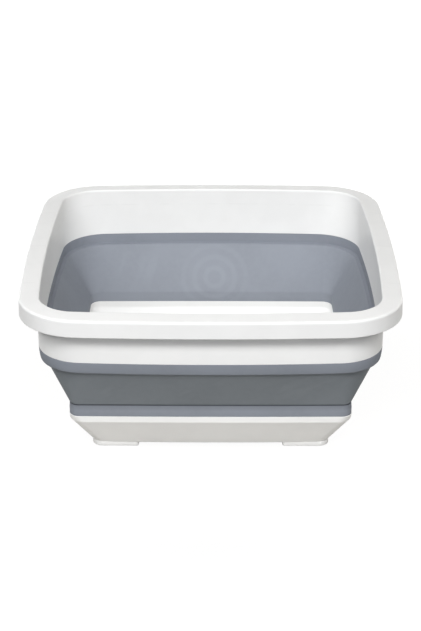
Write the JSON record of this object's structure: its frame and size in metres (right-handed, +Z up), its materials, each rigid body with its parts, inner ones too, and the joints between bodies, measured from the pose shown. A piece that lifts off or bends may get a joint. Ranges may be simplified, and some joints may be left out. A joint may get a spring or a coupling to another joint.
{
  "type": "collapsible bucket",
  "caption": "Square collapsible bucket: flanged rim frame and base tray joined by a folding rubber wall, on corner feet.",
  "frame": {"origin": "on the floor, under the middle of the bucket", "axes": "+Z up out of the mouth, -Y towards the front, +X to the right; the plan is square, so X and Y are alike"},
  "size_m": [0.381, 0.381, 0.1717],
  "materials": {
    "white_plastic": "satin, moulded",
    "grey_rubber": "matt, moulded",
    "pale_rubber": "matt, moulded"
  },
  "bodies": {
    "base": {"base_tray": "white_plastic", "wall_lower_band": "grey_rubber", "wall_fold_panel": "grey_rubber", "foot_front_left": "pale_rubber", "foot_front_right": "pale_rubber", "foot_back_left": "pale_rubber", "foot_back_right": "pale_rubber"},
    "rim": {"rim_frame": "white_plastic", "wall_upper_band": "grey_rubber"}
  },
  "joints": [
    {"name": "rim_collapse", "type": "slide", "parent": "base", "child": "rim", "axis": [0, 0, -1], "range_m": [0, 0.0964], "deforming": ["wall_fold_panel"]}
  ]
}
